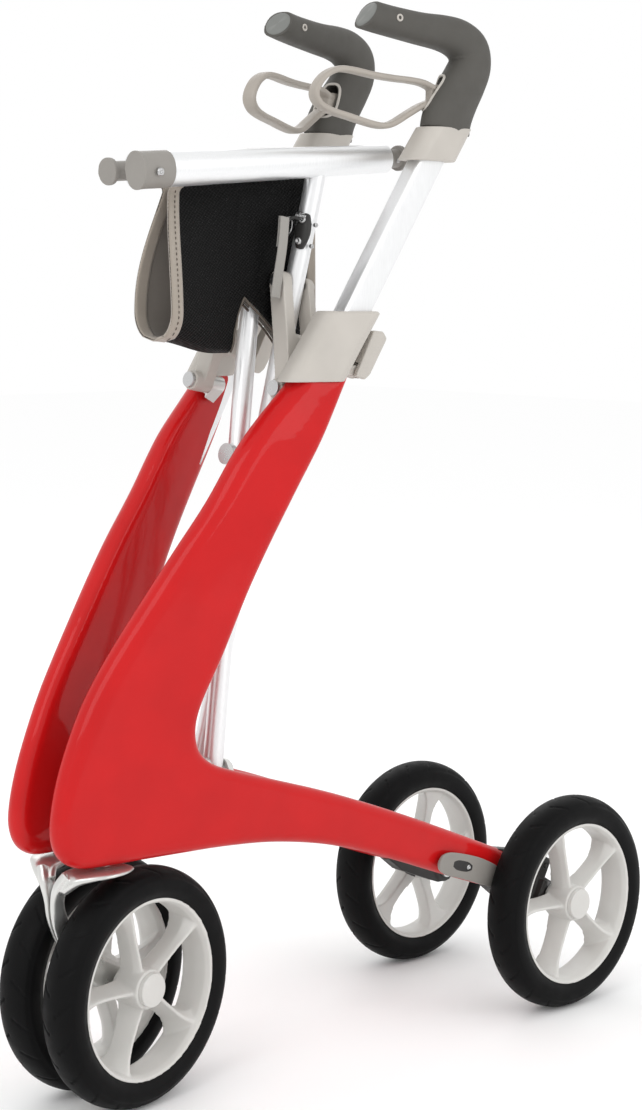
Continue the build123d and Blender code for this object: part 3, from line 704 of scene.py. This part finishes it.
def make_fork(side, name):
    """Cast fork: a bar under the frame that turns down beside the wheel to the axle."""
    roll, swivel = JOINTS[f"{name}_front_roll"], JOINTS[f"{name}_swivel"]
    yaw = atan2(roll["axis"][1], roll["axis"][0])
    stem = swivel["pos_m"]
    matrix = Matrix.Translation((stem[0], stem[1], 0)) @ Matrix.Rotation(yaw, 4, "Z")
    x = -side * FORK_ARM_X
    bar = [
        (side * 5, 20, 206.2, 11, 2.3), (side * 4, 8, 206.2, 17, 2.6), (side * 2, -6, 206.0, 18, 3.0),
        (x * 0.2, -17, 205.0, 15, 4.0), (x * 0.48, -26, 202.0, 10.5, 4.6), (x * 0.77, -31, 194.5, 7.6, 4.4),
        (x * 0.95, -31, 182, 7.0, 3.0), (x * 0.98, -27, 165, 8.4, 2.6), (x, -14, 143, 10.2, 2.6),
        (x, 8, 121, 11.2, 2.6), (x, 30, 106, 12.0, 2.6), (x, 46, 98, 10.5, 2.6),
    ]
    upper = sweep(bar[:6], Vector((1, 0, 0)), power=2.6)
    turned = [(*spot, high, wide) for *spot, wide, high in bar[4:]]
    lower = sweep(turned, Vector((1, 0, 0)), power=2.8)
    shaft = lathe([(0.01, 205), (4, 205), (4, 250), (0.01, 250)], 32)
    piece = build(f"{name}_fork_casting", *moved(join(upper, lower, shaft), matrix))
    fuse(piece, 0.8, 7, 0.6)
    finish(piece, "cast_silver", f"{name}_caster", f"fork_{name}")


# ---- hanging cloth -----------------------------------------------------------------
CLOTH_FRONT = -412.0
CLOTH_REAR = -249.0
SLOT_FRONT = -337.0
SLOT_PEAK = -325.0
SLOT_REAR = -281.0
SLOT_RISE = 45.0
CLOTH_COLUMNS = 96
CLOTH_ROWS = 40


def ease(t):
    t = max(0.0, min(1.0, t))
    return t * t * (3 - 2 * t)


def slot_rise(y):
    """Share of the slot's height at a station: an arch, steep in front and long behind."""
    if y < SLOT_PEAK:
        return max(0.0, (y - SLOT_FRONT) / (SLOT_PEAK - SLOT_FRONT)) ** 0.45
    return max(0.0, (SLOT_REAR - y) / (SLOT_REAR - SLOT_PEAK)) ** 0.8


def cloth_point(v, s, side):
    """Point of the cloth: v runs from front to rear, s from the rail down to the lowest line."""
    y = CLOTH_FRONT + (CLOTH_REAR - CLOTH_FRONT) * v
    top = 750.0 + 13.0 * v
    low = 625.5 - 11.0 * ease((y - CLOTH_FRONT) / 60.0) + SLOT_RISE * slot_rise(y)
    belly = 18.0 * (1 - ease((y - CLOTH_FRONT) / 92.0)) + 2.4
    widest = 0.82
    if s < widest:
        swell = sin(pi / 2 * s / widest) ** 1.35
    else:
        swell = sqrt(max(0.0, 1 - ((s - widest) / (1 - widest)) ** 2))
    if slot_rise(y) > 0:
        swell = sin(pi / 2 * min(1.0, s * 1.5))
    hem = 8.0 * max(0.0, 1 - s / 0.05) ** 2
    ripple = 0.4 * sin(y * 0.11 + 3.0 * s) * sin(pi * s) * ease((y - CLOTH_FRONT) / 20)
    x = 2.5 + hem + belly * swell + ripple * (swell > 0.3)
    lean = 14.0 * sin(pi / 2 * min(1.0, s / 0.75)) * (1 - v)
    if s > 0.999 and slot_rise(y) == 0:
        x = 0.0
    return at(side * x, y - lean, top + (low - top) * s)


def cloth_grid(v0, v1, columns):
    """Rows from the left rail round the lowest line to the right rail, for a range of columns."""
    points = []
    ladder = [(k / CLOTH_ROWS, 1) for k in range(CLOTH_ROWS + 1)]
    ladder += [(k / CLOTH_ROWS, -1) for k in reversed(range(CLOTH_ROWS))]
    for c in range(columns + 1):
        v = v0 + (v1 - v0) * c / columns
        points += [cloth_point(v, s, side) for s, side in ladder]
    return points, len(ladder)


def cloth_faces(columns, rows, v0, v1):
    faces = []
    for c in range(columns):
        y = CLOTH_FRONT + (CLOTH_REAR - CLOTH_FRONT) * (v0 + (v1 - v0) * (c + 1) / columns)
        for r in range(rows - 1):
            across_slot = slot_rise(y) > 0 and r in (CLOTH_ROWS - 1, CLOTH_ROWS)
            if not across_slot:
                a = c * rows + r
                faces.append((a, a + 1, a + rows + 1, a + rows))
    return faces


def thicken(piece, thickness, offset):
    solid = piece.modifiers.new("thickness", "SOLIDIFY")
    solid.thickness = thickness * MM
    solid.offset = offset
    solid.material_offset = 1
    bake(piece)


def make_cloth():
    """Hanging seat cloth with its lining, sewn edges and stitches."""
    points, rows = cloth_grid(0, 1, CLOTH_COLUMNS)
    sheet = build("seat_cloth", points, cloth_faces(CLOTH_COLUMNS, rows, 0, 1))
    sheet.data.materials.append(FINISH["sling_mesh"])
    sheet.data.materials.append(LINING)
    thicken(sheet, 0.9, 0.0)
    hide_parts("sling_left", "sling_right")
    pieces = [sheet, make_binding("front_binding", 0.0, 0.066), make_binding("rear_binding", 0.945, 1.0)]
    pieces += [make_slot_binding(), make_stitches()]
    for piece in pieces:
        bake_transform(piece)


def make_binding(name, v0, v1):
    """Folded tape sewn over an edge of the cloth."""
    columns = 5
    points, rows = cloth_grid(v0, v1, columns)
    tape = build(name, points, cloth_faces(columns, rows, v0, v1))
    tape.data.materials.append(BINDING)
    thicken(tape, 2.2, 0.0)
    tape.data.materials.clear()
    tape.data.materials.append(BINDING)
    return tape


def make_slot_binding():
    """Thin tape round the arch that the cross tubes pass through."""
    shapes = []
    span = CLOTH_REAR - CLOTH_FRONT
    v0, v1 = (SLOT_FRONT - CLOTH_FRONT) / span, (SLOT_REAR - CLOTH_FRONT) / span
    steps = 26
    for side in (1, -1):
        rows = []
        for k in range(steps + 1):
            share = 0.5 - 0.5 * cos(pi * k / steps)
            spot = cloth_point(v0 + (v1 - v0) * share, 0.998, side) / MM
            rows.append((*spot, 0.8, 1.0))
        shapes.append(sweep(rows, Vector((1, 0, 0)), steps=2, sides=10))
    points, faces = join(*shapes)
    tape = build("slot_binding", [Vector(p) * MM for p in points], faces)
    tape.data.materials.append(THREAD)
    smooth_shading(tape)
    return tape


def make_stitches():
    """Row of short dark stitches down the front binding."""
    shapes = []
    stitches = 30
    for side in (1, -1):
        for k in range(1, stitches):
            s0, s1 = (k + 0.22) / stitches, (k + 0.72) / stitches
            ends = [cloth_point(0.036, s, side) / MM for s in (s0, s1)]
            beside = (cloth_point(0.05, s0, side) / MM - ends[0]).normalized()
            out = beside.cross(ends[1] - ends[0]).normalized() * side
            if out.x * side < 0:
                out = -out
            lift = out * 1.45
            middle = (ends[0] + ends[1]) / 2 + lift + out * 0.25
            rows = [(*(ends[0] + lift), 0.35, 0.3), (*middle, 0.45, 0.4), (*(ends[1] + lift), 0.35, 0.3)]
            shapes.append(sweep(rows, beside, steps=2, sides=8, power=2))
    points, faces = join(*shapes)
    piece = build("binding_stitches", [p * MM for p in points], faces)
    piece.data.materials.append(THREAD)
    smooth_shading(piece)
    return piece


# ---- small fittings ------------------------------------------------------------------
def screw_head(name, centre, out, radius, body):
    """Pan-head screw with a round socket."""
    profile = [(0.01, 0.2), (radius * 0.42, 0.2), (radius * 0.46, 1.5)]
    profile += [(radius * 0.8, 1.3), (radius, 0.5), (radius, -1.5)]
    out = Vector(out).normalized()
    matrix = Matrix.Translation(centre) @ out.to_track_quat("Z", "Y").to_matrix().to_4x4()
    piece = build(name, *moved(lathe(profile, 36, closed=False), matrix))
    return finish(piece, "bolt_steel", body)


def rail_point(node, share):
    """Point of a seat rail's middle line, from its front at 0 to its rear at 1."""
    front, rear = Vector((20.5, -430.0, 761.0)), Vector((25.0, -186.0, 780.3))
    spot = front + (rear - front) * share
    side = 1 if node == "left" else -1
    return at(side * spot.x, spot.y, spot.z)


def make_cover(name, side):
    """Cable cover: a teardrop plate let into the arm's tail."""
    rows = [
        (77.7, -155.8, 160.0, 1.6, 2.0), (77.7, -153.0, 159.2, 1.7, 7.0), (77.7, -143, 156.8, 1.7, 10.4),
        (77.7, -125, 151.4, 1.7, 11.2), (77.7, -104, 144.0, 1.7, 11.4), (77.7, -84, 135.2, 1.7, 10.4),
        (77.7, -70, 128.2, 1.7, 8.0), (77.7, -64, 125.2, 1.6, 5.4), (77.7, -61, 123.8, 1.4, 1.8),
    ]
    shape = sweep(mirrored(rows, side), Vector((1, 0, 0)), steps=6, sides=36, power=4)
    plate = build(f"{name}_cover_plate", *placed(shape))
    finish(plate, "cap_grey", f"{name}_frame", f"brake_cover_{name}")


def make_small_parts():
    """Cover plates and their inserts, ports in the frames, and the screws of the rail caps."""
    for name, side in SIDES:
        make_cover(name, side)
        frame_body = f"{name}_frame"
        cover_end = at(side * 79.6, -73.5, 130.0)
        screw_head(f"{name}_cover_screw", cover_end, (side, 0, 0), 2.6, frame_body)
        inset = [
            (79.2, -138, 156, 0.4, 2.4), (79.2, -132, 154, 0.6, 4.6),
            (79.2, -120, 150.2, 0.6, 4.6), (79.2, -113, 148, 0.4, 2.4),
        ]
        slot_shape = sweep(mirrored(inset, side), Vector((1, 0, 0)), sides=24)
        finish(build(f"{name}_cover_slot", *placed(slot_shape)), "dark_plastic", frame_body)
        hole = at(side * 79.7, -118.5, 149.8)
        screw_head(f"{name}_cable_stop", hole, (side, 0, 0), 2.2, frame_body)
        port = [(23.5, -507, 290, 0.6, 6), (22.7, -498, 290, 1.0, 9.5), (24.5, -489, 290, 0.6, 6)]
        port_shape = sweep(mirrored(port, side), Vector((1, 0, 0)), sides=24)
        finish(build(f"{name}_inner_port", *placed(port_shape)), "dark_plastic", frame_body)
    collar = rail_point("left", -0.075)
    screw_head("left_collar_screw", collar + Vector((0.0146, 0, -0.002)), (1, 0, -0.15), 3.2, "left_brace")
    for name, side in SIDES:
        spot = rail_point(name, 1.035) + Vector((side * 0.0078, 0, -0.002))
        screw_head(f"{name}_cap_screw", spot, (side, 0, -0.2), 2.0, f"{name}_brace")


def tube_point(along, beside=0.0, before=0.0):
    """Point by the left rail's cross tube: along it, beside it and before its axis."""
    lean = radians(4.8)
    x = along * sin(lean) + beside * cos(lean)
    w = along * cos(lean) - beside * sin(lean)
    return brace_point(x, w, before - TUBE_DEPTH)


def make_latch():
    """Fold latch: a saddle on the cross tube, its screws and rivets, a spring and the strap's wire ring."""
    saddle_rows = [
        (*tube_point(181, 4.5, 6.0), 3.0, 3.5), (*tube_point(187, 5.5, 7.2), 6.2, 4.4),
        (*tube_point(195, 6.0, 7.6), 8.2, 4.8), (*tube_point(203, 5.5, 7.2), 6.8, 4.4),
        (*tube_point(210, 4.5, 6.0), 3.4, 3.5),
    ]
    saddle = sweep(saddle_rows, Vector((1, 0, 0)), steps=5, sides=22, power=2.2)
    hook_rows = [
        (*tube_point(203, 6, 11), 1.6, 1.6), (*tube_point(205, 3, 17), 1.6, 1.6),
        (*tube_point(201, 0, 21.5), 1.6, 1.6), (*tube_point(194, -2, 22.5), 1.6, 1.6),
    ]
    hook = sweep(hook_rows, Vector((1, 0, 0)), steps=5, sides=12, power=2)
    piece = build("latch_saddle", *placed(join(saddle, hook)))
    fuse(piece, 0.5, 5, 0.7)
    finish(piece, "dark_plastic", "left_brace", "fold_latch")
    ring = []
    turns = 30
    for k in range(turns + 1):
        a = 2 * pi * k / turns
        spot = tube_point(197 + 7.5 * sin(a), -1.0 + 2.0 * cos(a), 18.5 + 5.6 * cos(a))
        ring.append((*spot, 1.0, 1.0))
    wire = build("latch_ring", *placed(sweep(ring, Vector((0.9, 0.3, 0.1)), steps=2, sides=10, power=2)))
    finish(wire, "bolt_steel", "left_brace")
    for label, along in (("upper", 204.5), ("lower", 186.5)):
        spot = at(*tube_point(along, 7.0, 11.9))
        screw_head(f"latch_screw_{label}", spot, (0.3, -0.95, 0.15), 3.0, "left_brace")
        side_spot = at(*tube_point(along - 2, 13.2, 1.0))
        screw_head(f"latch_rivet_{label}", side_spot, (1, -0.1, -0.1), 1.9, "left_brace")
    spring_rows = []
    loops = 4
    for k in range(loops * 12 + 1):
        a = 2 * pi * k / 12
        spot = tube_point(208.0 + 2.6 * sin(a), 1.5 + k * 0.16 + 2.6 * cos(a), 13.5)
        spring_rows.append((*spot, 0.55, 0.55))
    spring_shape = sweep(spring_rows, Vector((0, 0.2, 1)), steps=1, sides=8, power=2)
    finish(build("latch_spring", *placed(spring_shape)), "bolt_steel", "left_brace")


def make_strap():
    """Webbing strap that hangs from the latch ring, doubled over it, with a slight curl."""
    low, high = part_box("release_strap")
    x, y = (low.x + high.x) / 2 / MM, (low.y + high.y) / 2 / MM
    top, bottom = high.z / MM - 1.5, low.z / MM
    rows = []
    for k in range(9):
        t = k / 8
        rows.append((x + 1.0 * sin(5.0 * t), y - 5.0 + 9.0 * (1 - t), top + (bottom - top) * t, 0.75, 5.0))
    back = [(row[0] - 2.1, row[1] + 0.2, row[2], 0.7, 5.0) for row in rows[:4]]
    shapes = join(sweep(rows, Vector((1, 0, 0)), power=5), sweep(back, Vector((1, 0, 0)), power=5))
    piece = build("pull_strap", *moved(shapes, Matrix.Identity(4)))
    finish(piece, "strap_grey", "left_brace", "release_strap")


# ---- handles -------------------------------------------------------------------------
GRIP_PATH = [
    (71.2, -160.5, 803, 15, 25.6), (71.2, -159, 811, 15, 25.2), (71.2, -154.5, 821, 15, 24.0),
    (71.0, -146, 834, 15, 22.4), (70.7, -136, 848, 15.3, 21.0), (70.2, -129, 861, 15.6, 19.6),
    (69.2, -130.5, 874, 16, 18.2),
    (67.6, -143, 882.5, 16, 16.6), (65.4, -160, 886.3, 15.8, 15.0), (62.0, -185, 888.2, 15, 13.4),
    (58.2, -212, 891.2, 14.4, 12.6), (55.0, -232, 894, 14.2, 12.4), (51.5, -254, 898, 14, 12.4),
]
GRIP_END = (53.6, -240.5, 895.6)
GRIP_END_NORMAL = (-0.2, -1.0, 0.62)
LEVER_PIVOT = (68.5, -150.0, 834.0)
LEVER_TOE = radians(12)
LEVER_LOOP = [
    (20, 5), (31, 9), (44, 10.6), (62, 11.4), (82, 12.9), (103, 15.6), (117, 15.6), (129, 10.5), (137, 2),
    (139.6, -6.5), (134.5, -14), (123, -18.8), (104, -23), (86, -27), (73, -28.6), (62, -26.5), (47, -18.2),
    (33, -10.5), (20, -6),
]
LEVER_NECK = [(-5, 7.0), (4, 8.2), (15, 8.4), (24, 8.0)]
MAST_POINT = (63.5, -262.0, 650.0)
MAST_DIR = Vector((6.7, 79.0, 126.0)).normalized()


def lever_point(side, ahead, across, up):
    """Point in millimetres from a brake lever's pivot: ahead, across outwards, and up."""
    s, c = sin(LEVER_TOE), cos(LEVER_TOE)
    x, y, z = LEVER_PIVOT
    return side * (x - s * ahead + c * across), y - c * ahead - s * across, z + up


def mirrored(rows, side):
    return [(side * row[0], *row[1:]) for row in rows]


def make_height_tube(name, side):
    rows = []
    for distance in (-150, -60, 30, 120, 165):
        spot = Vector(MAST_POINT) + MAST_DIR * distance
        rows.append((side * spot.x, spot.y, spot.z, 8.0, 13.5))
    tube = build(f"{name}_mast", *placed(sweep(rows, Vector((1, 0, 0)), steps=3, sides=48, power=9)))
    finish(tube, "tube_silver", f"{name}_handle", f"height_tube_{name}")


def make_grip(name, side):
    """Soft grip with a slanted end, and the recess that the brake lever's neck sits in."""
    shape = sweep(mirrored(GRIP_PATH, side), Vector((1, 0, 0)), steps=6, sides=40)
    grip = build(f"{name}_grip_shell", *placed(shape))
    normal = Vector((side * GRIP_END_NORMAL[0], *GRIP_END_NORMAL[1:])).normalized()
    end = at(side * GRIP_END[0], *GRIP_END[1:])
    work = bmesh.new()
    work.from_mesh(grip.data)
    whole = work.verts[:] + work.edges[:] + work.faces[:]
    cut = bmesh.ops.bisect_plane(work, geom=whole, plane_co=end, plane_no=normal, clear_outer=True)
    bmesh.ops.holes_fill(work, edges=[e for e in cut["geom_cut"] if isinstance(e, bmesh.types.BMEdge)])
    bmesh.ops.recalc_face_normals(work, faces=work.faces)
    work.to_mesh(grip.data)
    work.free()
    fuse(grip, 0.85, 6, 0.5)
    s, c = sin(LEVER_TOE), cos(LEVER_TOE)
    outward = Vector((side * c, -s, 0))
    rows = [(*lever_point(side, ahead, 0, 1.5), 6.9, 14.0) for ahead in (-13, 5, 25, 45)]
    carve(grip, build("recess", *placed(sweep(rows, outward, steps=1, sides=32, power=3.2))))
    finish(grip, "grip_rubber", f"{name}_handle", f"grip_{name}")

    skin = surface(grip)
    backward = Vector((side * s, c, 0))
    rim = []
    turns = 40
    for k in range(turns + 1):
        a = 2 * pi * k / turns
        n = 8.0 * abs(cos(a)) ** 0.62 * (1 if cos(a) > 0 else -1)
        h = 1.5 + 15.1 * abs(sin(a)) ** 0.62 * (1 if sin(a) > 0 else -1)
        hit = skin.ray_cast(at(*lever_point(side, 60, n, h)), backward)[0]
        rim.append((*(hit / MM), 1.25, 1.25))
    points, faces = sweep(rim, Vector((0.31, 0.17, 0.93)), steps=2, sides=10, power=2)
    bezel = build(f"{name}_lever_bezel", [Vector(p) * MM for p in points], faces)
    finish(bezel, "housing_grey", f"{name}_handle")

    tilt = normal.cross(Vector((1, 0, 0))).normalized()
    turn = Matrix((tilt.cross(normal), tilt, normal)).transposed().to_4x4()
    disc = lathe([(0.001, 0.75), (0.75, 0.75), (0.95, 0.55), (1.0, 0.0), (1.0, -1.5)], 56, closed=False)
    disc = [Vector((p.x * 12.3, p.y * 11.5, p.z)) for p in disc[0]], disc[1]
    cap = build(f"{name}_grip_cap", *moved(disc, Matrix.Translation(end) @ turn))
    finish(cap, "grip_rubber", f"{name}_handle")
    cap.data.materials.clear()
    cap.data.materials.append(END_CAP)

    eyelet = lathe([(1.6, -0.6), (1.6, 0.8), (2.4, 1.1), (3.1, 0.8), (3.1, -0.6)], 36)
    for label, way in (("outer", side), ("inner", -side)):
        hit, out, *_ = skin.ray_cast(at(side * 57 + way * 60, -219, 893.5), Vector((-way, 0, 0)))
        matrix = Matrix.Translation(hit) @ out.to_track_quat("Z", "Y").to_matrix().to_4x4()
        piece = build(f"{name}_grip_eyelet_{label}", *moved(eyelet, matrix))
        finish(piece, "housing_grey", f"{name}_handle")


def make_lever(name, side):
    """Looped brake lever: a smooth ribbon whose two ends run into the neck."""
    outward = Vector((side * cos(LEVER_TOE), -sin(LEVER_TOE), 0))
    ribbon = [(*lever_point(side, ahead, 0, up), 6.5, 2.7) for ahead, up in LEVER_LOOP]
    neck = [(*lever_point(side, ahead, 0, 0.3), 4.9, half) for ahead, half in LEVER_NECK]
    shapes = join(
        sweep(ribbon, outward, steps=6, sides=24, power=3.4),
        sweep(neck, outward, steps=3, sides=24, power=3.4),
    )
    lever = build(f"{name}_lever_loop", *placed(shapes))
    fuse(lever, 0.65, 6, 0.6)
    finish(lever, "lever_grey", f"{name}_lever", f"brake_lever_{name}")


# ---- assembly ----------------------------------------------------------------------
SOFTENED = {
    "top_housing": ("frame", 0.9, 6, 0.5),
    "rear_carrier": ("frame", 0.8, 5, 0.5, "dark_plastic"),
    "height_clamp": ("clamp", 0.7, 5, 0.6),
    "handle_sleeve": ("handle", 0.8, 4, 0.5),
    "brake_arm": ("brake", 0.6, 4, 0.6),
    "link": ("link", 0.7, 6, 0.6),
    "rail_caps": ("brace", 0.55, 4, 0.5),
}


def paint_cad_nodes():
    """Materials and softened edges for the CAD nodes that stay in view."""
    for name, node in NODES.items():
        node.data.materials.clear()
        node.data.materials.append(FINISH[SLOTS[name]])
        bevel = node.modifiers.new("edges", "BEVEL")
        bevel.width = 0.35 * MM
        bevel.segments = 2
        bevel.limit_method = "ANGLE"
        bevel.angle_limit = radians(35)


def main():
    make_camera()
    make_stage()
    paint_cad_nodes()
    for name, side in SIDES:
        for base, (body, *how) in SOFTENED.items():
            soften(f"{base}_{name}", f"{name}_{body}", *how)
        for place in ("front", "rear"):
            make_wheel(side, name, place)
        make_fork(side, name)
        make_height_tube(name, side)
        make_grip(name, side)
        make_lever(name, side)
    make_side_frames()
    make_cloth()
    make_latch()
    make_strap()
    make_small_parts()


main()
